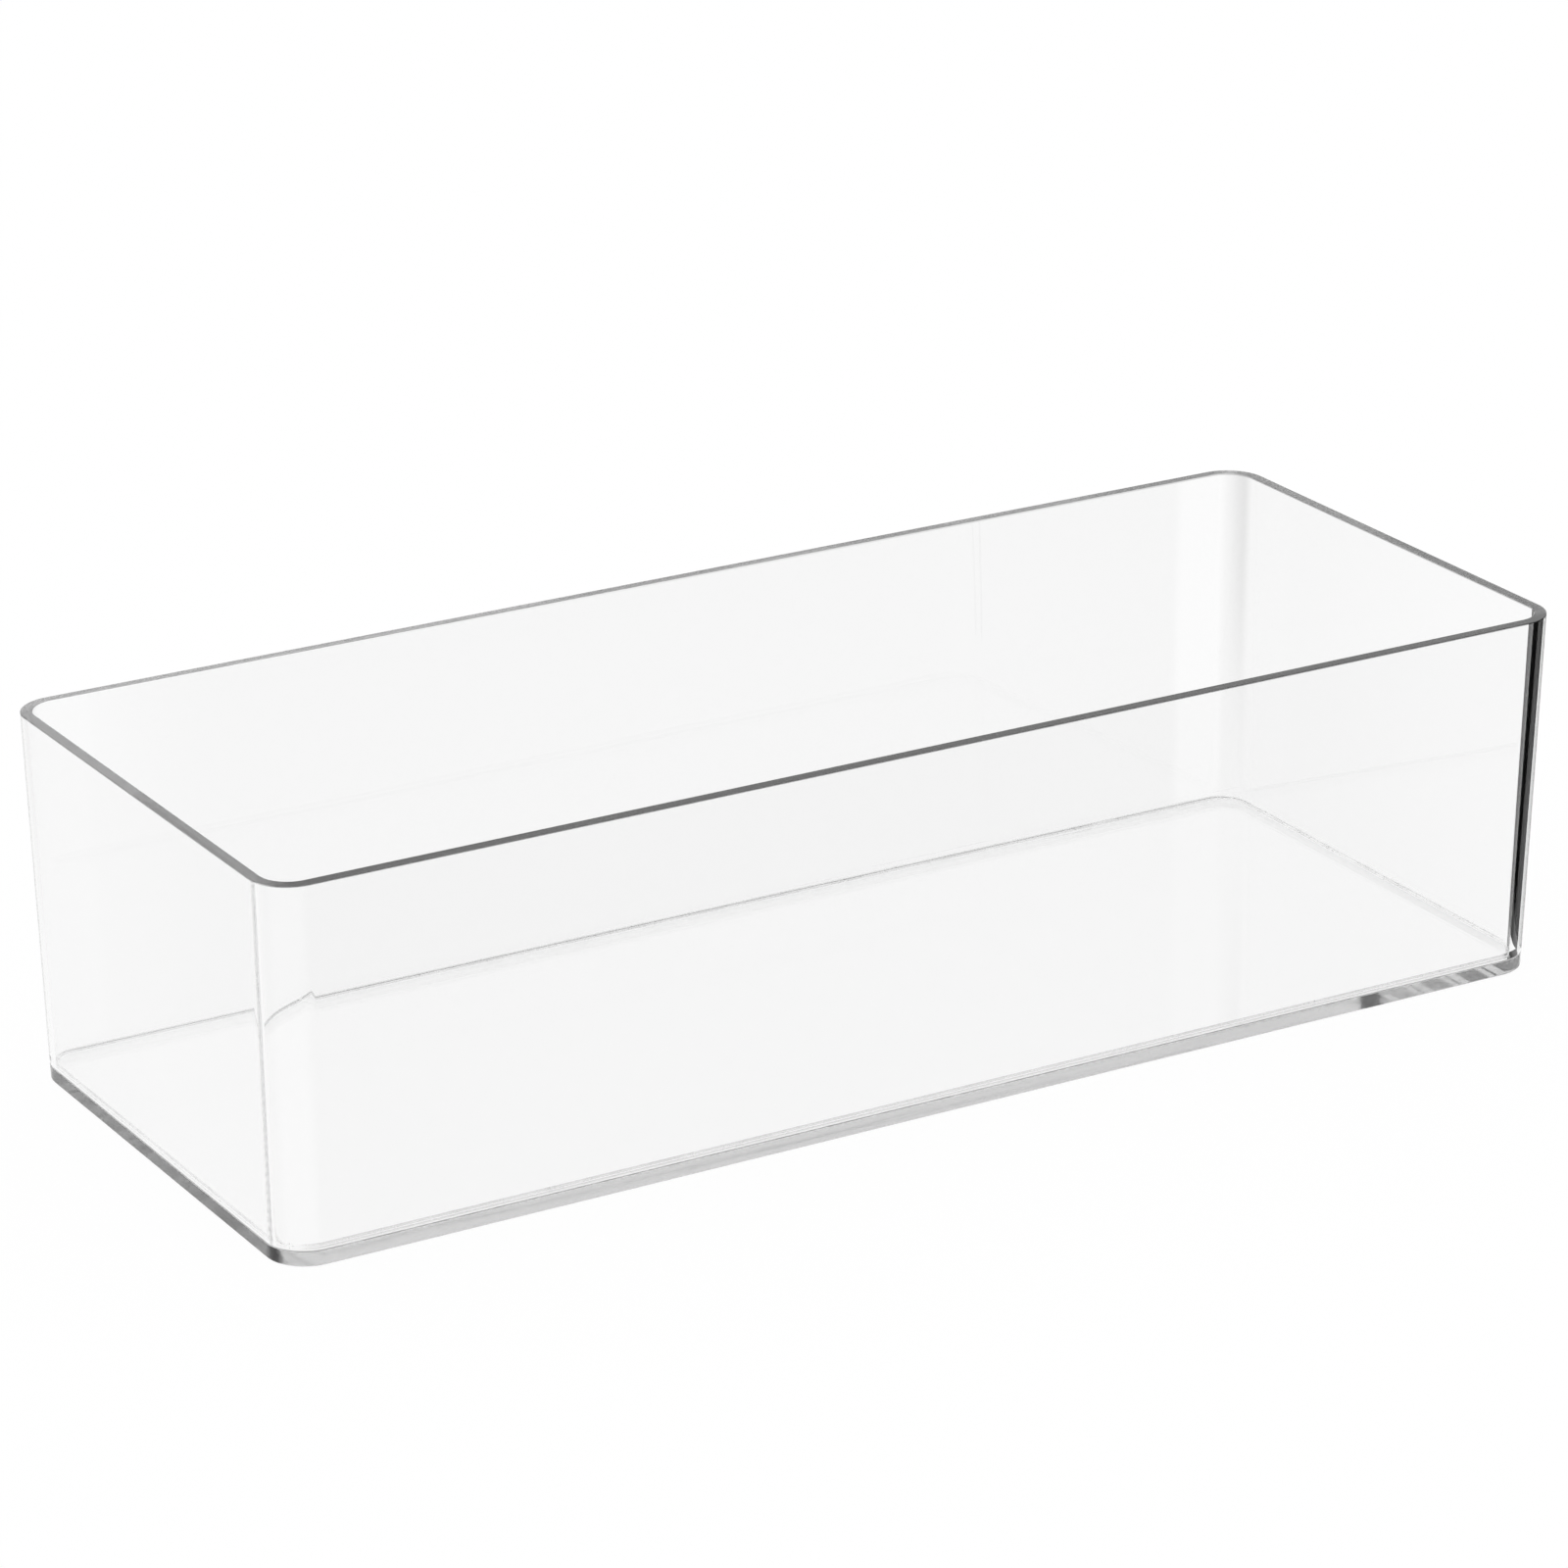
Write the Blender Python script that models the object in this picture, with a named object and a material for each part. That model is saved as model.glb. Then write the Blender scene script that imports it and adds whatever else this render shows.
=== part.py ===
"""Clear open tray for keepsakes: a seamless wall ring bonded to a flat base plate.

The tray stands on the XY plane with its length along X. Its origin is the middle of its
footprint, at the level of the table. All sizes are in metres.
"""

import math

import bmesh
import bpy

# The tray, outside, at its rim
LENGTH = 0.302
WIDTH = 0.1205
HEIGHT = 0.080

# Each side stands this much further in at the table than at the rim
LEAN = 0.0019

WALL = 0.0025
PLATE = 0.0032

# The cement joint between the ring's foot and the plate
JOINT_GAP = 0.0003
BEAD_LEG = 0.0006
BEAD_LIP = 0.00012

# Polished edges
RIM_ROUND = 0.00015
PLATE_ROUND = 0.0004

# The upright corners, outside. They keep this radius all the way from the rim to the table
CORNER_RADIUS = 0.0088

# Edges that meet at less than this are shaded smooth
SMOOTH_ANGLE = math.radians(30)

CORNER_STEPS = 12
ROUND_STEPS = 3
BEAD_STEPS = 5

CLEAR = (0.975, 0.975, 0.975, 1.0)
CEMENT = (0.94, 0.94, 0.94, 1.0)


def clear_scene():
    for obj in list(bpy.data.objects):
        bpy.data.objects.remove(obj, do_unlink=True)


def lean_at(height):
    """How far in from the rim's outline the outer face stands at this height."""
    return LEAN * (1 - height / HEIGHT)


def outline(depth, height):
    """The rounded outline at this height and this far in from the outer face, anticlockwise."""
    radius = CORNER_RADIUS - depth
    inset = lean_at(height) + depth
    reach_x = LENGTH / 2 - inset - radius
    reach_y = WIDTH / 2 - inset - radius
    points = []
    for quarter, (side_x, side_y) in enumerate(((1, 1), (-1, 1), (-1, -1), (1, -1))):
        for step in range(CORNER_STEPS + 1):
            angle = math.pi / 2 * (quarter + step / CORNER_STEPS)
            x = side_x * reach_x + radius * math.cos(angle)
            y = side_y * reach_y + radius * math.sin(angle)
            points.append((x, y))
    return points


def add_loop(bm, depth, height):
    return [bm.verts.new((x, y, height)) for x, y in outline(depth, height)]


def join_loops(bm, lower, upper):
    count = len(lower)
    for i in range(count):
        j = (i + 1) % count
        bm.faces.new((lower[i], lower[j], upper[j], upper[i]))


def round_loops(bm, loops):
    """Gives the edges of these loops the full bevel weight."""
    weight = bm.edges.layers.float.new("bevel_weight_edge")
    for loop in loops:
        members = set(loop)
        for edge in bm.edges:
            if members.issuperset(edge.verts):
                edge[weight] = 1.0


def clear_plastic(name, colour, roughness):
    material = bpy.data.materials.new(name)
    material.use_nodes = True
    shader = material.node_tree.nodes["Principled BSDF"]
    shader.inputs["Base Color"].default_value = colour
    shader.inputs["Metallic"].default_value = 0.0
    shader.inputs["Roughness"].default_value = roughness
    shader.inputs["IOR"].default_value = 1.49
    shader.inputs["Transmission Weight"].default_value = 1.0
    return material


def finish_piece(name, bm, material, height):
    """Makes the object, with its own origin on the tray's axis at this height."""
    bmesh.ops.recalc_face_normals(bm, faces=bm.faces)
    bmesh.ops.translate(bm, vec=(0, 0, -height), verts=bm.verts)
    mesh = bpy.data.meshes.new(name)
    bm.to_mesh(mesh)
    bm.free()
    mesh.materials.append(material)
    mesh.shade_smooth()
    mesh.set_sharp_from_angle(angle=SMOOTH_ANGLE)
    piece = bpy.data.objects.new(name, mesh)
    piece.location.z = height
    bpy.context.scene.collection.objects.link(piece)
    return piece


def add_edge_round(piece, width):
    bevel = piece.modifiers.new("polished_edge", "BEVEL")
    bevel.limit_method = "WEIGHT"
    bevel.width = width
    bevel.segments = ROUND_STEPS


def make_base_plate():
    """The flat floor: the walls' outline at table level, with its lower edge rounded."""
    bm = bmesh.new()
    under = add_loop(bm, 0, 0)
    top = add_loop(bm, 0, PLATE)
    join_loops(bm, under, top)
    bm.faces.new(under)
    bm.faces.new(top)
    round_loops(bm, [under])
    plate = finish_piece("base_plate", bm, clear_plastic("clear_plate", CLEAR, 0.03), 0)
    add_edge_round(plate, PLATE_ROUND)
    return plate


def make_wall_ring():
    """All four sides in one seamless ring of even thickness, its rim's edges rounded."""
    foot = PLATE + JOINT_GAP
    bm = bmesh.new()
    outer_foot = add_loop(bm, 0, foot)
    outer_rim = add_loop(bm, 0, HEIGHT)
    inner_rim = add_loop(bm, WALL, HEIGHT)
    inner_foot = add_loop(bm, WALL, foot)
    around = [outer_foot, outer_rim, inner_rim, inner_foot]
    for first, second in zip(around, around[1:] + around[:1]):
        join_loops(bm, first, second)
    round_loops(bm, [outer_rim, inner_rim])
    ring = finish_piece("wall_ring", bm, clear_plastic("clear_wall", CLEAR, 0.03), foot)
    add_edge_round(ring, RIM_ROUND)
    return ring


def bead_section():
    """The bead's section: each point's distance from the wall and from the floor."""
    hollow = BEAD_LEG - BEAD_LIP
    points = [(0, BEAD_LEG), (0, 0), (BEAD_LEG, 0)]
    for step in range(BEAD_STEPS + 1):
        angle = math.pi / 2 * step / BEAD_STEPS
        away = BEAD_LEG - hollow * math.sin(angle)
        up = BEAD_LEG - hollow * math.cos(angle)
        points.append((away, up))
    return points


def make_cement_bead():
    """The hollow bead of cured cement along the foot of the wall, inside the tray."""
    base = PLATE + JOINT_GAP
    bm = bmesh.new()
    around = []
    for away, up in bead_section():
        around.append(add_loop(bm, WALL + JOINT_GAP + away, base + up))
    for first, second in zip(around, around[1:] + around[:1]):
        join_loops(bm, first, second)
    material = clear_plastic("cured_cement", CEMENT, 0.08)
    return finish_piece("cement_bead", bm, material, base)


clear_scene()
make_base_plate()
make_wall_ring()
make_cement_bead()
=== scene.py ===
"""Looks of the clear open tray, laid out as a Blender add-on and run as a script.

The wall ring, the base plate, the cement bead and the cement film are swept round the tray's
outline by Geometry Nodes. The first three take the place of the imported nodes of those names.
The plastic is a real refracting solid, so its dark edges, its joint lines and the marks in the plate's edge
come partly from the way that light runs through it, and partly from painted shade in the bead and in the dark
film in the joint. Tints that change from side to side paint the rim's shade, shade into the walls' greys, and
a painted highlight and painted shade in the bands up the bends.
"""

import math

import bpy
from bpy.props import FloatProperty, FloatVectorProperty, IntProperty, PointerProperty
from mathutils import Euler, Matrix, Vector


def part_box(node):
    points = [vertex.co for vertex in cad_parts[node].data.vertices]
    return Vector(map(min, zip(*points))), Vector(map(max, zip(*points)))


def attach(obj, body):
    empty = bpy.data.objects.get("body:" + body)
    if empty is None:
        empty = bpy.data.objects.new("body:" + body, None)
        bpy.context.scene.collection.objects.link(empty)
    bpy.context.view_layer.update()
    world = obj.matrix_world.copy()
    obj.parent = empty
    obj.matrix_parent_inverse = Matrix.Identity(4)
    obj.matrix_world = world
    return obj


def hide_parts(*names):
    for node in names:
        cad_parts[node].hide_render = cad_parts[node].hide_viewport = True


bl_info = {
    "name": "Clear Tray",
    "version": (1, 0, 0),
    "blender": (4, 5, 0),
    "location": "3D View > Sidebar > Clear Tray",
    "description": "A clear plastic tray of a wall ring bonded to a base plate",
    "category": "Object",
}

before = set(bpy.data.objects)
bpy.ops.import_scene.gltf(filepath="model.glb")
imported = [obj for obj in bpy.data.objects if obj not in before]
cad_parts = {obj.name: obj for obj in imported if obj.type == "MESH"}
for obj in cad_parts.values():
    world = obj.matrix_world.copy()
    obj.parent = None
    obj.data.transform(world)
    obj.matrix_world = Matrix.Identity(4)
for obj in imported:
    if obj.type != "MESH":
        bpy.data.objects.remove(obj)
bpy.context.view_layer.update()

RING_LOW, RING_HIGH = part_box("wall_ring")
PLATE_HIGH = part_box("base_plate")[1]
BEAD_LOW, BEAD_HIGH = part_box("cement_bead")

BODY = "root"
PI = math.pi

WHITE = (1.0, 1.0, 1.0, 1.0)
HALF_GREY = (0.5, 0.5, 0.5, 1.0)
CARD_BLACK = (0.004, 0.004, 0.004, 1.0)

# Two points closer than this are one point
SAME_POINT = 1e-6

# Faces that meet at less than this are shaded as one
SMOOTH_ANGLE = math.radians(30)

# How far a large face outweighs a small one where they share a point: 50 evenly, 100 fully
FACE_WEIGHT = 100

# Where the mix node keeps its two colours and their blend, after its sockets of other kinds
MIX_FIRST = 6
MIX_LAST = 7
MIX_BLEND = 2

# A face of the film whose normal points up or down by less than this is one of its edges
EDGE_FACING = 0.5

# The film's material slots for its edges and its underside, after the one for its top
EDGE_SLOT = 1
UNDER_SLOT = 2

# Light that is caught inside a wall turns back this often before it finds a way out
BOUNCES = 200

# How many clear surfaces light may pass straight through, such as the card's back
CLEAR_BOUNCES = 16

# How far round a bend its painted highlight band ends, and its painted shade band peaks and ends
BAND_END_FRONT = math.radians(59)
BAND_END_BACK = math.radians(27)
BAND_SOFT = math.radians(8)
SHADE_MIDDLE = math.radians(68)
SHADE_END = math.radians(85)

# How much of the painted highlight band's tint the back bends take
BACK_SHARE = 0.65

# A long wall's level turns into the short walls' within this many thicknesses of the outside
SIDE_DEPTH = 2

# Slow waves: how their pattern is scaled along each axis, and how many there are in a metre
WALL_WAVES = ((1, 1, 0.35), 28.0)
PLATE_WAVES = ((1, 1, 1), 22.0)

# Hairlines: their pattern's turn in radians, how many changes there are in a metre along and
# across them, and how much of the noise's range shows as lines
WALL_WIPED = ((0.3, 0.2, 0.1), 30.0, 2600.0, 0.22)
WALL_CROSSED = ((1.1, 0.5, 0.9), 40.0, 3100.0, 0.2)
PLATE_WIPED = ((0.2, 0.1, 0.7), 25.0, 2400.0, 0.22)
PLATE_SLID = ((0.1, 0.2, 2.1), 18.0, 1500.0, 0.3)
EDGE_SAWN = ((0, 0, 0), 60.0, 3000.0, 0.4)

# What a hairline adds to the roughness
WALL_LINE_ROUGH = 0.03
PLATE_LINE_ROUGH = 0.04

# Worn patches: how many there are in a metre, and the roughness of the worst
WALL_WORN = (60.0, 0.012)
PLATE_WORN = (45.0, 0.015)

# The noise levels between which patches set in, for wear and for cement
WORN_LEVELS = (0.45, 0.7)
PATCH_LEVELS = (0.3, 0.7)

# How many finer rounds the noise has, in worn and mottled patches and in the rim and the bead
PATCH_DETAIL = 4.0
MARK_DETAIL = 3.0

# The rim's polishing marks: how their pattern is scaled along each axis, how many there are in a
# metre, how many times deeper than a hairline they are, and what they add to the roughness
POLISH_STRETCH = (1, 1, 0.1)
POLISH_MARKS = 1400.0
POLISH_DEPTH = 6
POLISH_ROUGH = 0.08

# Depths under the rim's top where they begin and are at their full, in radii of its edges
RIM_DEPTHS = (1.5, 0.5)

# Heights between which the scuffs under the plate fade, in radii of its lower edge
UNDERSIDE_HEIGHTS = (0.25, 0.75)

# How far a normal of the plate points up or down where its sawn look begins to fade and ends
SIDE_FACING = (0.2, 0.9)

# Roughness of the sawn edge beside its marks and on them, as shares of the edge blur
SAWN_BLUR = (0.9, 1.3)

# The bead's skin: how many lumps there are in a metre, and their height in metres
SKIN_LUMPS = 240.0
SKIN_DEPTH = 0.00004

# The bead's bubbles: how many there are in a metre, where they begin to fade and end as shares of
# their spacing, their height in metres, and their roughness
BUBBLES = 900.0
BUBBLE_RADII = (0.12, 0.28)
BUBBLE_DEPTH = 0.00003
BUBBLE_ROUGH = 0.3

# The bead's haze: how many clouds there are in a metre, and their least and greatest roughness
HAZE_CLOUDS = 130.0
HAZE_ROUGH = (0.03, 0.16)

# The film's mottle: how many patches there are in a metre, how it scales the shade, and its
# height in metres
MOTTLE_PATCHES = 320.0
MOTTLE_LEVELS = (0.75, 1.2)
MOTTLE_DEPTH = 0.00002

# The film's least and greatest roughness, on its free faces and under it
FILM_ROUGH = (0.4, 0.6)
UNDER_ROUGH = (0.02, 0.12)

# The camera: its lens and sensor in millimetres, the nearest that it sees and where it stands in
# metres, and its turn in degrees
LENS = 144.268
SENSOR = 36.0
NEAREST = 0.01
CAMERA_PLACE = (-0.61991, -1.05252, 0.51526)
CAMERA_TURN = (69.2532, 0.3351, -30.4778)


class TraySizes(bpy.types.PropertyGroup):
    length: FloatProperty(
        name="Length",
        description="Outside length at the rim",
        default=RING_HIGH.x - RING_LOW.x,
        unit="LENGTH",
    )
    width: FloatProperty(
        name="Width",
        description="Outside width at the rim",
        default=RING_HIGH.y - RING_LOW.y,
        unit="LENGTH",
    )
    height: FloatProperty(
        name="Height",
        description="Height of the rim above the table",
        default=RING_HIGH.z,
        unit="LENGTH",
    )
    lean: FloatProperty(
        name="Lean",
        description="How much further in each side stands at the table than at the rim",
        default=(RING_HIGH.x - PLATE_HIGH.x) / (1 - PLATE_HIGH.z / RING_HIGH.z),
        unit="LENGTH",
    )
    wall: FloatProperty(
        name="Wall",
        description="Thickness of the sides",
        default=0.0025,
        unit="LENGTH",
    )
    plate: FloatProperty(
        name="Plate",
        description="Thickness of the floor",
        default=PLATE_HIGH.z,
        unit="LENGTH",
    )
    joint: FloatProperty(
        name="Joint",
        description="Clearance where two bonded pieces meet",
        default=RING_LOW.z - PLATE_HIGH.z,
        unit="LENGTH",
    )
    film_slit: FloatProperty(
        name="Film slit",
        description="Air left above and beside the cement film in the joint",
        default=0.00005,
        unit="LENGTH",
    )
    film_sink: FloatProperty(
        name="Film sink",
        description="How far the cement film is bonded into the plate's top",
        default=0.00001,
        unit="LENGTH",
    )
    bead: FloatProperty(
        name="Bead",
        description="Height of the cement bead, and how far it reaches over the floor",
        default=BEAD_HIGH.z - BEAD_LOW.z,
        unit="LENGTH",
    )
    bead_lip: FloatProperty(
        name="Bead lip",
        description="Thickness of the bead at its two thin edges",
        default=0.00012,
        unit="LENGTH",
    )
    corner_radius: FloatProperty(
        name="Corner radius",
        description="Outside radius of the upright corners, the same at the rim and the table",
        default=0.0088,
        unit="LENGTH",
    )
    rim_round: FloatProperty(
        name="Rim rounding",
        description="Radius of the rim's two polished edges",
        default=0.00015,
        unit="LENGTH",
    )
    plate_round: FloatProperty(
        name="Plate rounding",
        description="Radius of the plate's lower edge",
        default=0.0004,
        unit="LENGTH",
    )
    corner_steps: IntProperty(
        name="Corner steps",
        description="Faces round each upright corner",
        default=40,
        min=4,
    )
    edge_steps: IntProperty(
        name="Edge steps",
        description="Faces round each polished edge",
        default=6,
        min=1,
    )


class TrayFinish(bpy.types.PropertyGroup):
    plate_tint: FloatVectorProperty(
        name="Plate tint",
        description="Tint of the plate's clear plastic",
        default=(0.99, 0.99, 0.99, 1.0),
        subtype="COLOR",
        size=4,
        min=0,
        max=1,
    )
    # The walls' greys differ by painted shade: greyer towards the back, and lighter again at the left end
    front_tint: FloatVectorProperty(
        name="Front tint",
        description="Tint of the walls' clear plastic at the front",
        default=(0.97, 0.97, 0.97, 1.0),
        subtype="COLOR",
        size=4,
        min=0,
        max=1,
    )
    shaded_back_tint: FloatVectorProperty(
        name="Back tint",
        description="Tint of the walls' clear plastic at the back, which the photograph shows greyer",
        default=(0.93, 0.93, 0.93, 1.0),
        subtype="COLOR",
        size=4,
        min=0,
        max=1,
    )
    # The bands up the bends are painted: a painted highlight up each bend, and painted shade beside it in the
    # two back bends
    highlight_tint: FloatVectorProperty(
        name="Bend tint",
        description="Tint of the clearer band that runs up each bend from its long wall",
        default=(1.0, 1.0, 1.0, 1.0),
        subtype="COLOR",
        size=4,
        min=0,
        max=1,
    )
    bend_shade: FloatVectorProperty(
        name="Bend shade",
        description="Tint of the darker band beside it in the two back bends",
        default=(0.78, 0.78, 0.78, 1.0),
        subtype="COLOR",
        size=4,
        min=0,
        max=1,
    )
    front_band: FloatProperty(
        name="Front band",
        description="How far a front bend's clearer band runs into its long wall. Below 0 it stops short",
        default=-0.0012,
        unit="LENGTH",
    )
    back_band: FloatProperty(
        name="Back band",
        description="How far a back bend's clearer band runs into its long wall",
        default=0.0085,
        unit="LENGTH",
    )
    left_fade: FloatProperty(
        name="Left fade",
        description="How far from the left end the back wall's grey tint comes in",
        default=0.045,
        unit="LENGTH",
    )
    # Painted light at the left end: how much of the back's painted grey the left wall is free of
    left_unshaded: FloatProperty(
        name="Left clear",
        description="How much of the grey tint the left wall is free of",
        default=0.5,
        min=0,
        max=1,
    )
    # The bead's tints are painted shade: darker along the front and back walls than along the short ones
    bead_front_shade: FloatProperty(
        name="Bead front",
        description="Tint of the cured cement along the front wall",
        default=0.5,
        min=0,
        max=1,
    )
    bead_side_shade: FloatProperty(
        name="Bead side",
        description="Tint of the cured cement along the two short walls",
        default=1.0,
        min=0,
        max=1,
    )
    bead_back_shade: FloatProperty(
        name="Bead back",
        description="Tint of the cured cement along the back wall",
        default=0.5,
        min=0,
        max=1,
    )
    # The rim's clouding is painted shade: darkest at the front, half at the short walls and none at the back,
    # down a margin of the sides
    rim_dark: FloatProperty(
        name="Rim dark",
        description="Tint of the clouded rim of the front wall",
        default=0.03,
        min=0,
        max=1,
    )
    rim_middle: FloatProperty(
        name="Rim middle",
        description="Tint of the clouded rim of the two short walls",
        default=0.5,
        min=0,
        max=1,
    )
    rim_light: FloatProperty(
        name="Rim light",
        description="Tint of the clouded rim of the back wall",
        default=1.0,
        min=0,
        max=1,
    )
    rim_margin: FloatProperty(
        name="Rim margin",
        description="How far down the sides the rim's clouding runs from its rounded edges",
        default=0.0003,
        unit="LENGTH",
    )
    # The film is a dark sheet in the joint that puts painted shade there: darkest under the front wall,
    # lightest under the back
    film_dark: FloatProperty(
        name="Film dark",
        description="Shade of the cement film under the front wall",
        default=0.05,
        min=0,
        max=1,
    )
    film_middle: FloatProperty(
        name="Film middle",
        description="Shade of the cement film under the two short walls",
        default=0.33,
        min=0,
        max=1,
    )
    film_light: FloatProperty(
        name="Film light",
        description="Shade of the cement film under the back wall",
        default=0.8,
        min=0,
        max=1,
    )
    # The painted shade of the rim and the film deepens towards the right end, where their level falls to this
    # share
    right_share: FloatProperty(
        name="Right share",
        description="Share of their tint that the rim and the film keep at the tray's right end",
        default=0.5,
        min=0,
        max=1,
    )
    film_edge: FloatProperty(
        name="Film edge",
        description="Shade of the cement film's own edge, which shows as the joint line",
        default=0.55,
        min=0,
        max=1,
    )
    # The film's underside is a mirror with a painted level, which sets the painted shade of the marks in the
    # plate's edge
    under_front: FloatProperty(
        name="Under front",
        description="Share of light that the film's bonded underside turns back, just behind the front bends",
        default=0.12,
        min=0,
        max=1,
    )
    under_back: FloatProperty(
        name="Under back",
        description="Share of light that the film's bonded underside turns back, at the tray's back",
        default=0.65,
        min=0,
        max=1,
    )
    under_bend: FloatProperty(
        name="Under bend",
        description="How far in from the front the film's underside still turns more light back",
        default=0.017,
        unit="LENGTH",
    )
    plate_absorb: FloatProperty(
        name="Plate absorption",
        description="How fast the plate takes up light: after a metre, e to the power of minus this is left",
        default=3.4,
        min=0,
    )
    wall_absorb: FloatProperty(
        name="Wall absorption",
        description="How fast the walls take up light: after a metre, e to the power of minus this is left",
        default=0.5,
        min=0,
    )
    bend: FloatProperty(
        name="Refractive index",
        description="How strongly the plastic bends light",
        default=1.49,
        min=1,
        max=2,
    )
    edge_blur: FloatProperty(
        name="Edge blur",
        description="Roughness of the plate's cut edge",
        default=0.09,
        min=0,
        max=1,
    )
    flow: FloatProperty(
        name="Flow waves",
        description="Height of the slow waves that moulding leaves in the faces",
        default=0.00006,
        unit="LENGTH",
    )
    hairlines: FloatProperty(
        name="Hairlines",
        description="Depth of the fine wiping and polishing hairlines",
        default=0.0000015,
        unit="LENGTH",
    )


class TrayStage(bpy.types.PropertyGroup):
    surround: FloatVectorProperty(
        name="Surround",
        description="Colour of the soft light all round",
        default=WHITE,
        subtype="COLOR",
        size=4,
        min=0,
        max=1,
    )
    floor_reach: FloatProperty(
        name="Floor reach",
        description="How far the floor spreads from its middle",
        default=3.0,
        unit="LENGTH",
    )
    floor_drop: FloatProperty(
        name="Floor drop",
        description="How far the floor lies under the tray",
        default=0.0002,
        unit="LENGTH",
    )
    floor_white: FloatProperty(
        name="Floor white",
        description="White that the floor shows in the picture and in the plastic",
        default=0.965,
        min=0,
        max=1,
    )
    floor_shade: FloatProperty(
        name="Floor shade",
        description="Share of the floor's look that takes the tray's shadow",
        default=0.035,
        min=0,
        max=1,
    )
    card_gap: FloatProperty(
        name="Card gap",
        description="Distance from the axis of the right front corner to the black card's plane",
        default=0.0108,
        unit="LENGTH",
    )
    card_start: FloatProperty(
        name="Card start",
        description="How far along its plane the black card begins",
        default=0.005,
        unit="LENGTH",
    )
    card_length: FloatProperty(
        name="Card length",
        description="Length of the black card along the floor",
        default=0.050,
        unit="LENGTH",
    )
    card_heading: FloatProperty(
        name="Card heading",
        description="Direction in plan that the black card faces, from the tray's length",
        default=math.radians(35),
        subtype="ANGLE",
    )


def sizes():
    return bpy.context.scene.tray_sizes


def finish():
    return bpy.context.scene.tray_finish


def stage():
    return bpy.context.scene.tray_stage


def corner(centre, radius, first, last, steps):
    """Points round part of a circle, in the section's own two directions."""
    points = []
    for step in range(steps + 1):
        angle = first + (last - first) * step / steps
        points.append((centre[0] + radius * math.cos(angle), centre[1] + radius * math.sin(angle)))
    return points


def section_object(name, points, closed):
    """An object that holds a section: x is the way in from the outer face, y is the height."""
    mesh = bpy.data.meshes.new(name)
    edges = [(i, i + 1) for i in range(len(points) - 1)]
    if closed:
        edges.append((len(points) - 1, 0))
    mesh.from_pydata([(-x, -y, 0) for x, y in points], edges, [])
    piece = bpy.data.objects.new(name, mesh)
    bpy.context.scene.collection.objects.link(piece)
    return piece


def add(tree, kind, inputs=(), **settings):
    """Adds a node, sets it, and gives its inputs a value or a link each."""
    node = tree.nodes.new(kind)
    for name, value in settings.items():
        setattr(node, name, value)
    for key, value in dict(inputs).items():
        socket = node.inputs[key]
        if isinstance(value, bpy.types.NodeSocket):
            tree.links.new(value, socket)
        else:
            socket.default_value = value
    return node


def math_node(tree, operation, first, second=0.0):
    return add(tree, "ShaderNodeMath", {0: first, 1: second}, operation=operation).outputs[0]


def product(tree, first, *others):
    """All these levels multiplied."""
    for level in others:
        first = math_node(tree, "MULTIPLY", first, level)
    return first


def tray_path(tree, given):
    """The rim's rounded outline as a closed curve."""
    size = {"Width": given["Length"], "Height": given["Width"]}
    box = add(tree, "GeometryNodeCurvePrimitiveQuadrilateral", size)
    rounding = {"Curve": box.outputs[0], "Radius": given["Corner radius"], "Count": given["Corner steps"]}
    rounded = add(tree, "GeometryNodeFilletCurve", rounding, mode="POLY")
    upright = add(tree, "GeometryNodeSetCurveNormal", {"Curve": rounded.outputs[0]}, mode="Z_UP")
    return upright.outputs[0]


def cap(tree, path, given, end):
    """A flat face that closes the sweep at its lower or upper end."""
    normal = tree.nodes.new("GeometryNodeInputNormal")
    inward = product(tree, given[end + " inset"], -1.0)
    along = {0: normal.outputs[0], "Scale": inward}
    shift = add(tree, "ShaderNodeVectorMath", along, operation="SCALE")
    moved = add(tree, "GeometryNodeSetPosition", {"Geometry": path, "Offset": shift.outputs[0]})
    filled = add(tree, "GeometryNodeFillCurve", {"Curve": moved.outputs[0]}, mode="NGONS")
    rise = add(tree, "ShaderNodeCombineXYZ", {"Z": given[end + " height"]})
    place = {"Geometry": filled.outputs[0], "Translation": rise.outputs[0]}
    lifted = add(tree, "GeometryNodeTransform", place).outputs[0]
    if end == "Lower":
        lifted = add(tree, "GeometryNodeFlipFaces", {"Mesh": lifted}).outputs[0]
    return lifted


def leaned(tree, solid, given):
    """Brings the corners in by the lean at each height. They are not bent, so they keep their radius."""
    place = tree.nodes.new("GeometryNodeInputPosition").outputs[0]
    along = add(tree, "ShaderNodeSeparateXYZ", {0: place}).outputs
    level = math_node(tree, "DIVIDE", along["Z"], given["Height"])
    below = math_node(tree, "SUBTRACT", level, 1.0)
    outward = product(tree, below, given["Lean"])
    moves = {}
    for axis in "XY":
        moves[axis] = product(tree, math_node(tree, "SIGN", along[axis]), outward)
    offset = add(tree, "ShaderNodeCombineXYZ", moves)
    moved = {"Geometry": solid, "Offset": offset.outputs[0]}
    return add(tree, "GeometryNodeSetPosition", moved).outputs[0]


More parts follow.
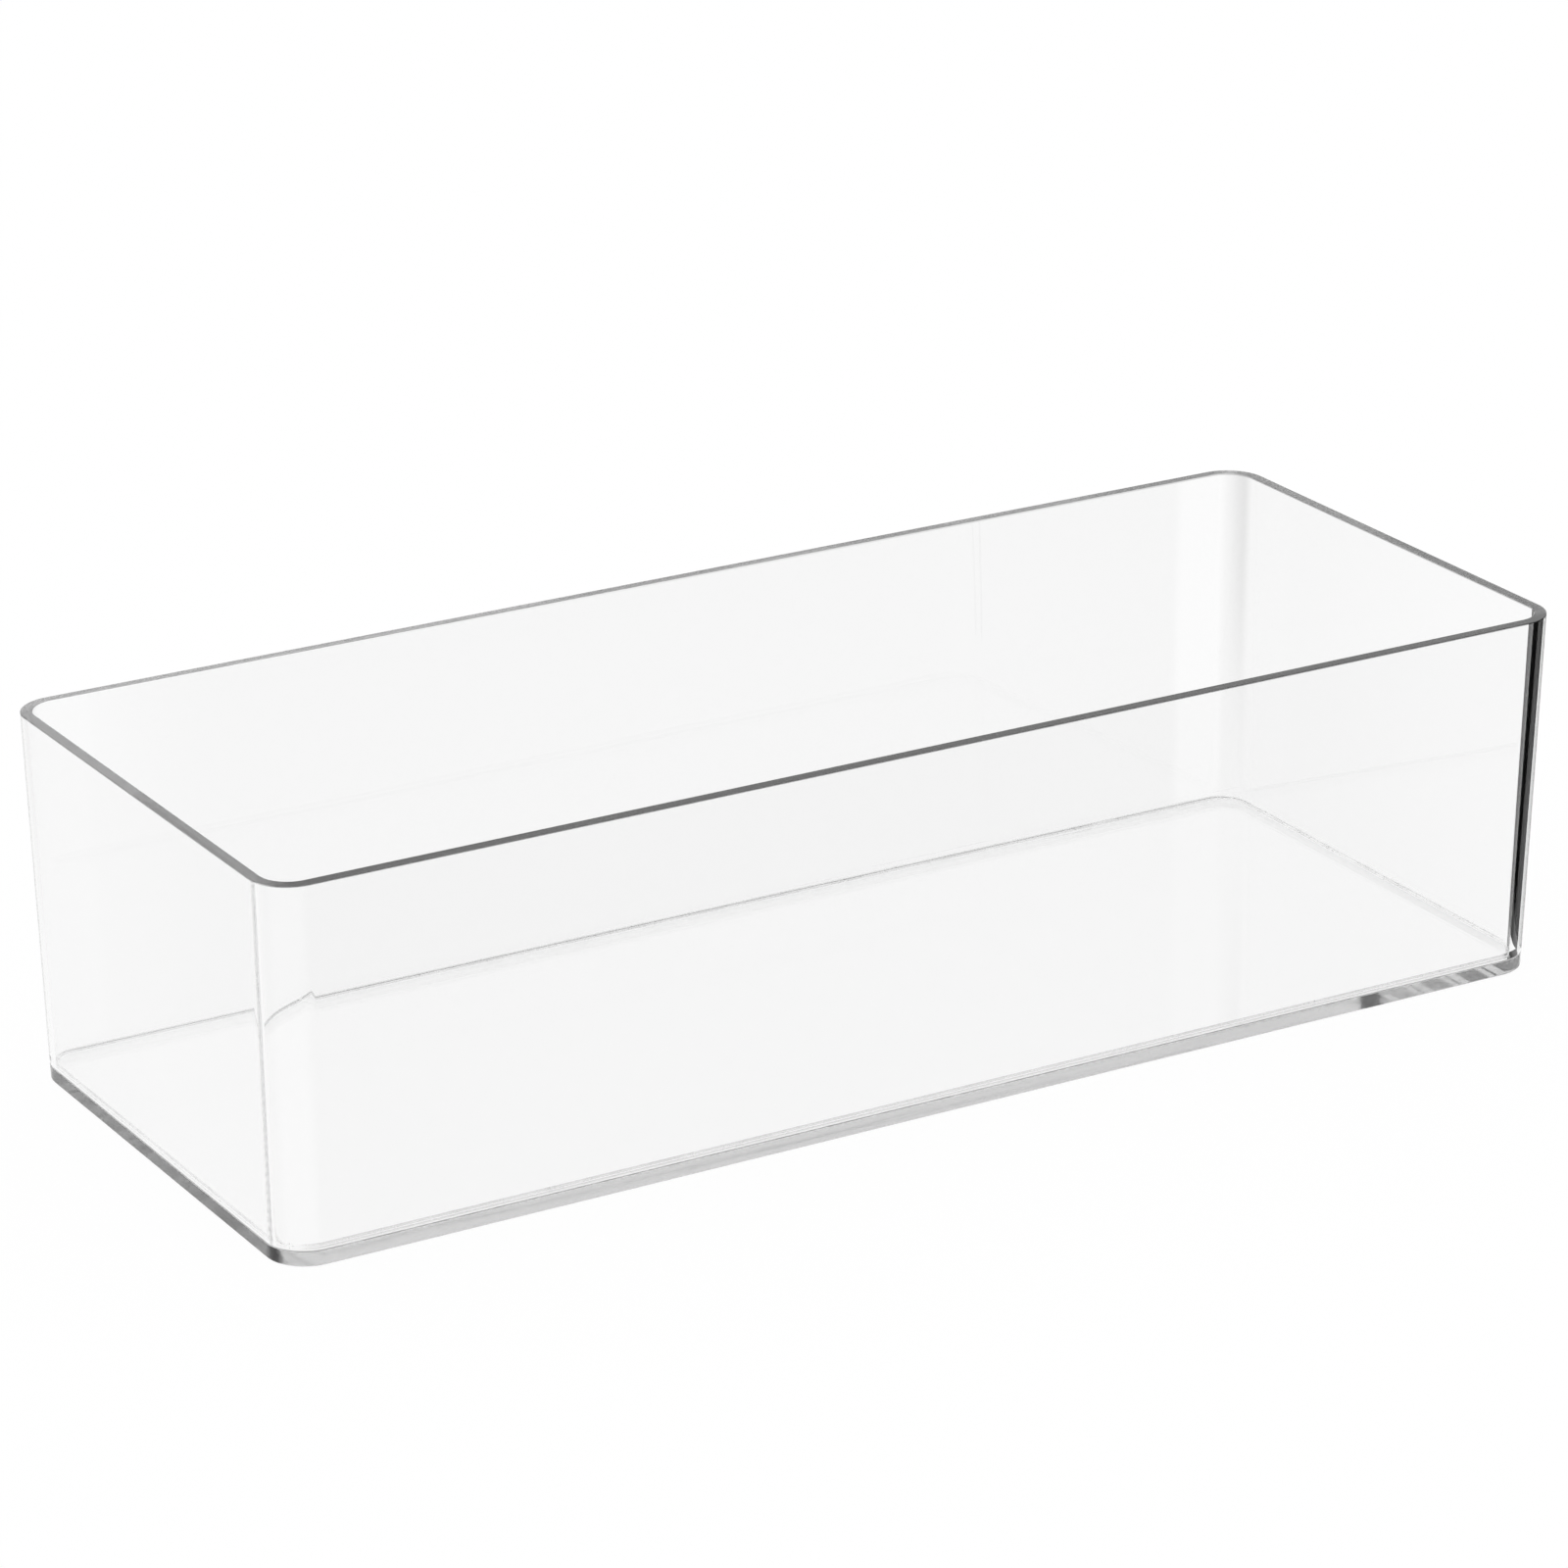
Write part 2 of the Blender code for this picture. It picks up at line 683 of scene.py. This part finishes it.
def sweep_tree(capped):
    """Sweeps the object's own section round the outline. A capped one is closed above and below."""
    tree = bpy.data.node_groups.new("Tray sweep", "GeometryNodeTree")
    face = tree.interface
    face.new_socket("Section", in_out="INPUT", socket_type="NodeSocketGeometry")
    lengths = ["Length", "Width", "Height", "Lean", "Corner radius"]
    if capped:
        lengths += ["Lower inset", "Lower height", "Upper inset", "Upper height"]
    for name in lengths:
        socket = face.new_socket(name, in_out="INPUT", socket_type="NodeSocketFloat")
        socket.subtype = "DISTANCE"
    face.new_socket("Corner steps", in_out="INPUT", socket_type="NodeSocketInt")
    face.new_socket("Material", in_out="INPUT", socket_type="NodeSocketMaterial")
    face.new_socket("Mesh", in_out="OUTPUT", socket_type="NodeSocketGeometry")
    given = tree.nodes.new("NodeGroupInput").outputs
    result = tree.nodes.new("NodeGroupOutput")
    path = tray_path(tree, given)
    section = add(tree, "GeometryNodeMeshToCurve", {"Mesh": given["Section"]})
    rails = {"Curve": path, "Profile Curve": section.outputs[0]}
    solid = add(tree, "GeometryNodeCurveToMesh", rails).outputs[0]
    if capped:
        joined = tree.nodes.new("GeometryNodeJoinGeometry")
        for part in (cap(tree, path, given, "Upper"), cap(tree, path, given, "Lower"), solid):
            tree.links.new(part, joined.inputs[0])
        merge = {"Geometry": joined.outputs[0], "Distance": SAME_POINT}
        solid = add(tree, "GeometryNodeMergeByDistance", merge).outputs[0]
    leaning = leaned(tree, solid, given)
    real = add(tree, "GeometryNodeRealizeInstances", {"Geometry": leaning})
    paint = {"Geometry": real.outputs[0], "Material": given["Material"]}
    painted = add(tree, "GeometryNodeSetMaterial", paint)
    tree.links.new(painted.outputs[0], result.inputs["Mesh"])
    return tree


def sweep(piece, tree, values):
    """Runs the tree on the section and leaves its result as the piece's plain mesh."""
    modifier = piece.modifiers.new("sweep", "NODES")
    modifier.node_group = tree
    for item in tree.interface.items_tree:
        if item.in_out == "INPUT" and item.name in values:
            modifier[item.identifier] = values[item.name]
    take_result(piece)
    piece.data.shade_smooth()
    piece.data.set_sharp_from_angle(angle=SMOOTH_ANGLE)
    # Flat faces have to shade as truly flat, or what is seen through them is bent
    even = piece.modifiers.new("even", "WEIGHTED_NORMAL")
    even.keep_sharp = True
    even.weight = FACE_WEIGHT
    take_result(piece)
    return piece


def take_result(piece):
    """Makes what the piece's modifiers give its plain mesh, and removes them."""
    view = bpy.context.evaluated_depsgraph_get()
    made = bpy.data.meshes.new_from_object(piece.evaluated_get(view), depsgraph=view)
    piece.modifiers.clear()
    piece.data = made
    made.name = piece.name


def outline_values(material):
    s = sizes()
    return {
        "Length": s.length,
        "Width": s.width,
        "Height": s.height,
        "Lean": s.lean,
        "Corner radius": s.corner_radius,
        "Corner steps": s.corner_steps,
        "Material": material,
    }


def object_place(tree, stretch=(1, 1, 1), turn=(0, 0, 0)):
    """Where on the object a point lies, in metres, scaled and then turned for a pattern."""
    place = tree.nodes.new("ShaderNodeTexCoord").outputs["Object"]
    spin = {"Vector": place, "Rotation": turn, "Scale": stretch}
    return add(tree, "ShaderNodeMapping", spin).outputs[0]


def object_axes(tree):
    """Where on the object a point lies, in metres, as X, Y and Z."""
    return add(tree, "ShaderNodeSeparateXYZ", {0: object_place(tree)}).outputs


def ramp(tree, factor, first, last, low=0.0, high=1.0):
    """Turns factor from first..last into low..high, held flat outside."""
    ends = {"Value": factor, "From Min": first, "From Max": last, "To Min": low, "To Max": high}
    return add(tree, "ShaderNodeMapRange", ends, interpolation_type="SMOOTHSTEP").outputs[0]


def noise(tree, place, scale, detail):
    """Soft random waves, about half way between 0 and 1."""
    pattern = {"Vector": place, "Scale": scale, "Detail": detail}
    return add(tree, "ShaderNodeTexNoise", pattern).outputs["Fac"]


def hairlines(tree, turn, along, across, share):
    """Sparse fine lines, 1 on a line and 0 beside it."""
    place = object_place(tree, (along, across, across), turn)
    lines = noise(tree, place, scale=1.0, detail=0.0)
    return ramp(tree, lines, 1 - share, 1 - share / 2)


def bumped(tree, height, depth, under=None):
    """Bends the surface's normal by height, whose full range is depth metres."""
    inputs = {"Height": height, "Distance": depth, "Strength": 1.0}
    if under is not None:
        inputs["Normal"] = under
    return add(tree, "ShaderNodeBump", inputs).outputs[0]


def new_material(name):
    material = bpy.data.materials.new(name)
    material.use_nodes = True
    return material, material.node_tree, material.node_tree.nodes["Principled BSDF"]


def make_clear(tree, shader, colour, absorb):
    """Sets the plastic's own values: a refracting solid that takes up a little light."""
    shader.inputs["Base Color"].default_value = colour
    shader.inputs["IOR"].default_value = finish().bend
    shader.inputs["Transmission Weight"].default_value = 1.0
    # Absorption takes up the share that its colour leaves, so half grey needs double density
    inside = add(tree, "ShaderNodeVolumeAbsorption", {"Color": HALF_GREY, "Density": 2 * absorb})
    tree.links.new(inside.outputs[0], tree.nodes["Material Output"].inputs["Volume"])


def flow_waves(tree, stretch, scale):
    """The slow waves of moulded plastic."""
    waves = noise(tree, object_place(tree, stretch), scale, detail=1.0)
    return bumped(tree, waves, finish().flow)


def worn(tree, scale, worst):
    """The roughness of worn patches, at most worst."""
    return ramp(tree, noise(tree, object_place(tree), scale, PATCH_DETAIL), *WORN_LEVELS, 0.0, worst)


def grey(tree, level):
    """A grey of this level, as a link."""
    return add(tree, "ShaderNodeCombineColor", {0: level, 1: level, 2: level}).outputs[0]


def blend(tree, share, first, last):
    """The first colour where share is 0 and the last where it is 1. A colour may be a link."""
    ends = {0: share, MIX_FIRST: first, MIX_LAST: last}
    return add(tree, "ShaderNodeMix", ends, data_type="RGBA").outputs[MIX_BLEND]


def side_shade(tree, front, middle, back, right):
    """Painted shade, a level for each side: one at the front wall, one at the short ones and one at the back.

    Along the tray it falls off to the share right at the right end.
    """
    s = sizes()
    place = object_axes(tree)
    reach = s.width / 2 - s.lean
    depth = SIDE_DEPTH * s.wall
    near = ramp(tree, place["Y"], -reach, -reach + depth, front, middle)
    far = ramp(tree, place["Y"], reach - depth, reach, 0.0, back - middle)
    fade = ramp(tree, place["X"], -s.length / 2, s.length / 2, 1.0, right)
    return product(tree, math_node(tree, "ADD", near, far), fade)


def past_axis(tree, place, axis, half):
    """How far out a point lies along an axis, from the axis of the bend nearest to it."""
    s = sizes()
    level = math_node(tree, "DIVIDE", place["Z"], s.height)
    leaning = product(tree, math_node(tree, "SUBTRACT", 1.0, level), s.lean)
    out = math_node(tree, "ABSOLUTE", place[axis])
    return math_node(tree, "SUBTRACT", math_node(tree, "ADD", out, leaning), half - s.corner_radius)


def bend_highlight_band(tree, far, past_x, turned):
    """The painted highlight band up each bend and into its long wall, 1 on it and 0 beside it."""
    f = finish()
    wall = sizes().wall
    reach = ramp(tree, far, 0.0, 1.0, -f.front_band, -f.back_band)
    begun = ramp(tree, math_node(tree, "SUBTRACT", past_x, reach), -wall / 2, wall / 2)
    last = ramp(tree, far, 0.0, 1.0, BAND_END_FRONT, BAND_END_BACK)
    left = ramp(tree, math_node(tree, "SUBTRACT", last, turned), -BAND_SOFT, BAND_SOFT)
    return product(tree, begun, left, ramp(tree, far, 0.0, 1.0, 1.0, BACK_SHARE))


def wall_tints(tree):
    """The walls' tint with painted shade and light: greyer towards the back, lighter at the left end, with a
    painted highlight band up each bend and a painted shade band beside it in the back bends.
    """
    f = finish()
    s = sizes()
    place = object_axes(tree)
    # Painted shade: greyer towards the back, and painted light at the left end
    back = ramp(tree, place["Y"], -s.width / 2, s.width / 2)
    far = ramp(tree, place["Y"], -s.corner_radius, s.corner_radius)
    past_x = past_axis(tree, place, "X", s.length / 2)
    past_y = past_axis(tree, place, "Y", s.width / 2)
    # 0 where the long wall meets the bend, and a quarter turn where the short wall does
    turned = math_node(tree, "ARCTAN2", past_x, past_y)
    # Painted shade in a band beside each back bend, darker higher up
    rise = ramp(tree, turned, BAND_END_BACK, SHADE_MIDDLE)
    fall = ramp(tree, turned, SHADE_MIDDLE, SHADE_END, 1.0, 0.0)
    raised = ramp(tree, place["Z"], 0.0, s.height)
    bend_shade_band = product(tree, rise, fall, far, raised)
    half = s.length / 2
    left_light_mask = ramp(tree, place["X"], -half, f.left_fade - half, 1.0, 0.0)
    left_light_mask = product(tree, left_light_mask, ramp(tree, place["Y"], -s.width / 2, 0.0))
    # Painted highlight: a lighter band up each bend
    light = bend_highlight_band(tree, far, past_x, turned)
    light = product(tree, light, math_node(tree, "SUBTRACT", 1.0, left_light_mask))
    plain = blend(tree, back, f.front_tint, f.shaded_back_tint)
    plain = blend(tree, product(tree, left_light_mask, f.left_unshaded), plain, f.highlight_tint)
    banded = blend(tree, light, plain, f.highlight_tint)
    return blend(tree, bend_shade_band, banded, f.bend_shade)


def wall_plastic():
    """Clear plastic with draw waves, wiping hairlines and a polished rim, with painted shade in its tint: a
    darker rim, greyer walls towards the back, and bands up the bends.
    """
    material, tree, shader = new_material("clear_wall")
    f = finish()
    s = sizes()
    make_clear(tree, shader, f.shaded_back_tint, f.wall_absorb)
    high = object_axes(tree)["Z"]
    edge = s.height - s.rim_round
    # Painted shade on the rim, darkest at the front and lightest at the back
    rim_shade_mask = ramp(tree, high, edge - f.rim_margin, edge)
    rim_shade_colour = grey(tree, side_shade(tree, f.rim_dark, f.rim_middle, f.rim_light, f.right_share))
    colour = blend(tree, rim_shade_mask, wall_tints(tree), rim_shade_colour)
    tree.links.new(colour, shader.inputs["Base Color"])
    scuffs = math_node(tree, "MAXIMUM", hairlines(tree, *WALL_WIPED), hairlines(tree, *WALL_CROSSED))
    lowest, highest = (s.height - share * s.rim_round for share in RIM_DEPTHS)
    polish = noise(tree, object_place(tree, POLISH_STRETCH), POLISH_MARKS, MARK_DETAIL)
    polished = product(tree, polish, ramp(tree, high, lowest, highest))
    normal = flow_waves(tree, *WALL_WAVES)
    normal = bumped(tree, scuffs, f.hairlines, normal)
    normal = bumped(tree, polished, POLISH_DEPTH * f.hairlines, normal)
    tree.links.new(normal, shader.inputs["Normal"])
    rough = math_node(tree, "ADD", worn(tree, *WALL_WORN), product(tree, scuffs, WALL_LINE_ROUGH))
    rough = math_node(tree, "ADD", rough, product(tree, polished, POLISH_ROUGH))
    tree.links.new(rough, shader.inputs["Roughness"])
    return material


def plate_plastic():
    """Clear plastic with cast waves, a sawn edge, and scuffs under it from sliding on the table."""
    material, tree, shader = new_material("clear_plate")
    f = finish()
    s = sizes()
    make_clear(tree, shader, f.plate_tint, f.plate_absorb)
    lowest, highest = (share * s.plate_round for share in UNDERSIDE_HEIGHTS)
    under = ramp(tree, object_axes(tree)["Z"], lowest, highest, 1.0, 0.0)
    slid = product(tree, hairlines(tree, *PLATE_SLID), under)
    scuffs = math_node(tree, "MAXIMUM", hairlines(tree, *PLATE_WIPED), slid)
    normal = bumped(tree, scuffs, f.hairlines, flow_waves(tree, *PLATE_WAVES))
    tree.links.new(normal, shader.inputs["Normal"])
    rough = math_node(tree, "ADD", worn(tree, *PLATE_WORN), product(tree, scuffs, PLATE_LINE_ROUGH))
    facing = tree.nodes.new("ShaderNodeNewGeometry").outputs["True Normal"]
    upright = add(tree, "ShaderNodeSeparateXYZ", {0: facing}).outputs["Z"]
    side = ramp(tree, math_node(tree, "ABSOLUTE", upright), *SIDE_FACING, 1.0, 0.0)
    smooth, coarse = (share * f.edge_blur for share in SAWN_BLUR)
    blur = ramp(tree, hairlines(tree, *EDGE_SAWN), 0.0, 1.0, smooth, coarse)
    rough = math_node(tree, "MAXIMUM", rough, product(tree, side, blur))
    tree.links.new(rough, shader.inputs["Roughness"])
    return material


def bead_cement():
    """Slightly hazy cement with an uneven skin and tiny bubbles."""
    material, tree, shader = new_material("cured_cement")
    f = finish()
    make_clear(tree, shader, WHITE, f.wall_absorb)
    # Painted shade: the bead is darker along the front and back walls than along the short ones
    tint = side_shade(tree, f.bead_front_shade, f.bead_side_shade, f.bead_back_shade, 1.0)
    tree.links.new(grey(tree, tint), shader.inputs["Base Color"])
    skin = bumped(tree, noise(tree, object_place(tree), SKIN_LUMPS, MARK_DETAIL), SKIN_DEPTH)
    cells = {"Vector": object_place(tree), "Scale": BUBBLES}
    spots = add(tree, "ShaderNodeTexVoronoi", cells).outputs["Distance"]
    bubbles = ramp(tree, spots, *BUBBLE_RADII, 1.0, 0.0)
    tree.links.new(bumped(tree, bubbles, BUBBLE_DEPTH, skin), shader.inputs["Normal"])
    clouds = noise(tree, object_place(tree), HAZE_CLOUDS, MARK_DETAIL)
    haze = ramp(tree, clouds, *PATCH_LEVELS, *HAZE_ROUGH)
    rough = math_node(tree, "MAXIMUM", haze, product(tree, bubbles, BUBBLE_ROUGH))
    tree.links.new(rough, shader.inputs["Roughness"])
    return material


def under_shade(tree):
    """The share of light that the film's underside turns back, a painted level that sets how dark the marks
    in the plate's edge look.

    Nearly all of it along the front and in its bends, little just behind them, and more to the back.
    """
    f = finish()
    s = sizes()
    across = object_axes(tree)["Y"]
    half = s.width / 2
    bend = ramp(tree, across, s.corner_radius - half, f.under_bend - half, 1.0, 0.0)
    shade = ramp(tree, across, -half, half, f.under_front, f.under_back)
    return math_node(tree, "MAXIMUM", shade, bend)


def shade_film_material(name, side):
    """The opaque cured film in the joint: a dark sheet of painted shade, mottled where it took unevenly, its
    top darker at the front than at the back.

    The side is top, edge or under.
    """
    material, tree, shader = new_material(name)
    f = finish()
    rough = FILM_ROUGH
    if side == "edge":
        shade = f.film_edge
    elif side == "under":
        shade = under_shade(tree)
        rough = UNDER_ROUGH
        # The underside is a mirror with a painted level: it turns light back into the plate, as the bare face
        # beside it does, but not all of it, which paints shade into the marks in the plate's edge
        shader.inputs["Metallic"].default_value = 1.0
    else:
        # Painted shade on the film's top, darkest under the front wall
        shade = side_shade(tree, f.film_dark, f.film_middle, f.film_light, f.right_share)
    patches = noise(tree, object_place(tree), MOTTLE_PATCHES, PATCH_DETAIL)
    mottle = ramp(tree, patches, *PATCH_LEVELS, *MOTTLE_LEVELS)
    tree.links.new(grey(tree, product(tree, mottle, shade)), shader.inputs["Base Color"])
    shader.inputs["IOR"].default_value = f.bend
    tree.links.new(ramp(tree, mottle, *MOTTLE_LEVELS, *rough), shader.inputs["Roughness"])
    tree.links.new(bumped(tree, mottle, MOTTLE_DEPTH), shader.inputs["Normal"])
    return material


def hand_over(piece, node):
    """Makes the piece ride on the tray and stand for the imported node, where there is one."""
    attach(piece, BODY)
    if node:
        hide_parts(node)


class TRAY_OT_wall_ring(bpy.types.Operator):
    """Make the seamless ring of the four sides"""

    bl_idname = "tray.wall_ring"
    bl_label = "Wall Ring"

    def execute(self, context):
        s = sizes()
        foot = s.plate + s.joint
        top = s.height
        r = s.rim_round
        points = [(s.wall, foot)]
        points += corner((s.wall - r, top - r), r, 0, PI / 2, s.edge_steps)
        points += corner((r, top - r), r, PI / 2, PI, s.edge_steps)
        points.append((0, foot))
        piece = section_object("wall_ring_clear", points, True)
        sweep(piece, sweep_tree(False), outline_values(wall_plastic()))
        hand_over(piece, "wall_ring")
        return {"FINISHED"}


class TRAY_OT_base_plate(bpy.types.Operator):
    """Make the flat floor under the ring"""

    bl_idname = "tray.base_plate"
    bl_label = "Base Plate"

    def execute(self, context):
        s = sizes()
        r = s.plate_round
        points = [(0, s.plate)]
        points += corner((r, r), r, -PI, -PI / 2, s.edge_steps)
        piece = section_object("base_plate_clear", points, False)
        values = outline_values(plate_plastic())
        values["Upper inset"], values["Upper height"] = points[0]
        values["Lower inset"], values["Lower height"] = points[-1]
        sweep(piece, sweep_tree(True), values)
        hand_over(piece, "base_plate")
        return {"FINISHED"}


class TRAY_OT_cement_bead(bpy.types.Operator):
    """Make the hollow bead of cured cement along the inner foot of the ring"""

    bl_idname = "tray.cement_bead"
    bl_label = "Cement Bead"

    def execute(self, context):
        s = sizes()
        base = s.plate + s.joint
        wall = s.wall + s.joint
        points = [(0, s.bead), (0, 0), (s.bead, 0)]
        points += corner((s.bead, s.bead), s.bead - s.bead_lip, -PI / 2, -PI, s.edge_steps)
        points = [(wall + away, base + up) for away, up in points]
        piece = section_object("cement_bead_clear", points, True)
        sweep(piece, sweep_tree(False), outline_values(bead_cement()))
        hand_over(piece, "cement_bead")
        return {"FINISHED"}


class TRAY_OT_cement_shade_film(bpy.types.Operator):
    """Make the film of cured cement in the joint between the ring's foot and the plate, a dark sheet of
    painted shade
    """

    bl_idname = "tray.cement_film"
    bl_label = "Cement Film"

    def execute(self, context):
        s = sizes()
        low = s.plate - s.film_sink
        high = s.plate + s.joint - s.film_slit
        outer = s.film_slit
        inner = s.wall - s.film_slit
        points = [(inner, low), (inner, high), (outer, high), (outer, low)]
        piece = section_object("cement_film", points, True)
        sweep(piece, sweep_tree(False), outline_values(shade_film_material("cement_film", "top")))
        piece.data.materials.append(shade_film_material("cement_shade_film_edge", "edge"))
        piece.data.materials.append(shade_film_material("cement_shade_film_under", "under"))
        for face in piece.data.polygons:
            if abs(face.normal.z) < EDGE_FACING:
                face.material_index = EDGE_SLOT
            elif face.normal.z < 0:
                face.material_index = UNDER_SLOT
        hand_over(piece, None)
        return {"FINISHED"}


class TRAY_OT_stage(bpy.types.Operator):
    """Set up the floor, the background, the light and the camera"""

    bl_idname = "tray.stage"
    bl_label = "Stage"

    def execute(self, context):
        make_world()
        make_floor()
        make_card()
        make_camera()
        context.scene.view_settings.view_transform = "Standard"
        return {"FINISHED"}


def make_world():
    """Even white light all round, with room for the many bounces inside the plastic."""
    world = bpy.data.worlds.new("studio")
    world.use_nodes = True
    bpy.context.scene.world = world
    world.node_tree.nodes["Background"].inputs["Color"].default_value = stage().surround
    light = bpy.context.scene.cycles
    light.max_bounces = BOUNCES
    light.glossy_bounces = BOUNCES
    light.transmission_bounces = BOUNCES
    light.transparent_max_bounces = CLEAR_BOUNCES


def stage_object(name, points, material):
    """A flat four-cornered piece of the stage."""
    mesh = bpy.data.meshes.new(name)
    mesh.from_pydata(points, [], [(0, 1, 2, 3)])
    piece = bpy.data.objects.new(name, mesh)
    bpy.context.scene.collection.objects.link(piece)
    mesh.materials.append(material)
    return piece


def floor_paper():
    """White in the picture and in the plastic, with a thin share that keeps the tray's shadow."""
    material, tree, shader = new_material("floor_paper")
    tree.nodes.remove(shader)
    ray = tree.nodes.new("ShaderNodeLightPath").outputs
    seen = math_node(tree, "MAXIMUM", ray["Is Camera Ray"], ray["Is Glossy Ray"])
    seen = math_node(tree, "MAXIMUM", seen, ray["Is Transmission Ray"])
    plain = add(tree, "ShaderNodeBsdfDiffuse", {"Color": stage().surround})
    white = add(tree, "ShaderNodeEmission", {"Color": WHITE, "Strength": stage().floor_white})
    shade = [stage().floor_shade] * 3 + [1.0]
    shadow = add(tree, "ShaderNodeBsdfDiffuse", {"Color": shade})
    pictured = add(tree, "ShaderNodeAddShader", {0: white.outputs[0], 1: shadow.outputs[0]})
    both = add(tree, "ShaderNodeMixShader", {0: seen, 1: plain.outputs[0], 2: pictured.outputs[0]})
    tree.links.new(both.outputs[0], tree.nodes["Material Output"].inputs["Surface"])
    return material


def make_floor():
    reach = stage().floor_reach
    down = -stage().floor_drop
    points = [(-reach, -reach, down), (reach, -reach, down), (reach, reach, down), (-reach, reach, down)]
    stage_object("floor", points, floor_paper())


def make_card():
    """The black card beside the right front corner, which that corner shows as a dark edge."""
    s = sizes()
    material, tree, shader = new_material("black_card")
    shader.inputs["Base Color"].default_value = CARD_BLACK
    shader.inputs["Specular IOR Level"].default_value = 0.0
    clear = tree.nodes.new("ShaderNodeBsdfTransparent")
    reverse = tree.nodes.new("ShaderNodeNewGeometry").outputs["Backfacing"]
    sides = {0: reverse, 1: shader.outputs[0], 2: clear.outputs[0]}
    one_sided = add(tree, "ShaderNodeMixShader", sides)
    tree.links.new(one_sided.outputs[0], tree.nodes["Material Output"].inputs["Surface"])
    heading = stage().card_heading
    facing = Vector((math.cos(heading), math.sin(heading), 0))
    along = Vector((facing.y, -facing.x, 0))
    axis = Vector((s.length / 2 - s.corner_radius, s.corner_radius - s.width / 2, 0))
    near = axis + facing * stage().card_gap + along * stage().card_start
    ends = [near, near + along * stage().card_length]
    up = Vector((0, 0, s.height))
    points = [ends[0], ends[1], ends[1] + up, ends[0] + up]
    card = stage_object("black_card", points, material)
    card.visible_camera = False
    card.visible_diffuse = False


def make_camera():
    data = bpy.data.cameras.new("camera")
    data.lens = LENS
    data.sensor_width = SENSOR
    data.clip_start = NEAREST
    camera = bpy.data.objects.new("camera", data)
    camera.location = CAMERA_PLACE
    camera.rotation_euler = Euler([math.radians(angle) for angle in CAMERA_TURN])
    bpy.context.scene.collection.objects.link(camera)
    bpy.context.scene.camera = camera


class TRAY_PT_panel(bpy.types.Panel):
    bl_label = "Clear Tray"
    bl_space_type = "VIEW_3D"
    bl_region_type = "UI"
    bl_category = "Clear Tray"

    def draw(self, context):
        layout = self.layout
        for group in (context.scene.tray_sizes, context.scene.tray_finish, context.scene.tray_stage):
            for name in group.bl_rna.properties.keys():
                if name not in ("rna_type", "name"):
                    layout.prop(group, name)
        for operator in OPERATORS:
            layout.operator(operator.bl_idname)


OPERATORS = (
    TRAY_OT_wall_ring,
    TRAY_OT_base_plate,
    TRAY_OT_cement_bead,
    TRAY_OT_cement_shade_film,
    TRAY_OT_stage,
)
CLASSES = (TraySizes, TrayFinish, TrayStage) + OPERATORS + (TRAY_PT_panel,)


def register():
    for cls in CLASSES:
        bpy.utils.register_class(cls)
    bpy.types.Scene.tray_sizes = PointerProperty(type=TraySizes)
    bpy.types.Scene.tray_finish = PointerProperty(type=TrayFinish)
    bpy.types.Scene.tray_stage = PointerProperty(type=TrayStage)


def unregister():
    del bpy.types.Scene.tray_stage
    del bpy.types.Scene.tray_finish
    del bpy.types.Scene.tray_sizes
    for cls in reversed(CLASSES):
        bpy.utils.unregister_class(cls)


def main():
    register()
    bpy.ops.tray.wall_ring()
    bpy.ops.tray.base_plate()
    bpy.ops.tray.cement_bead()
    bpy.ops.tray.cement_film()
    bpy.ops.tray.stage()


if __name__ == "__main__":
    main()
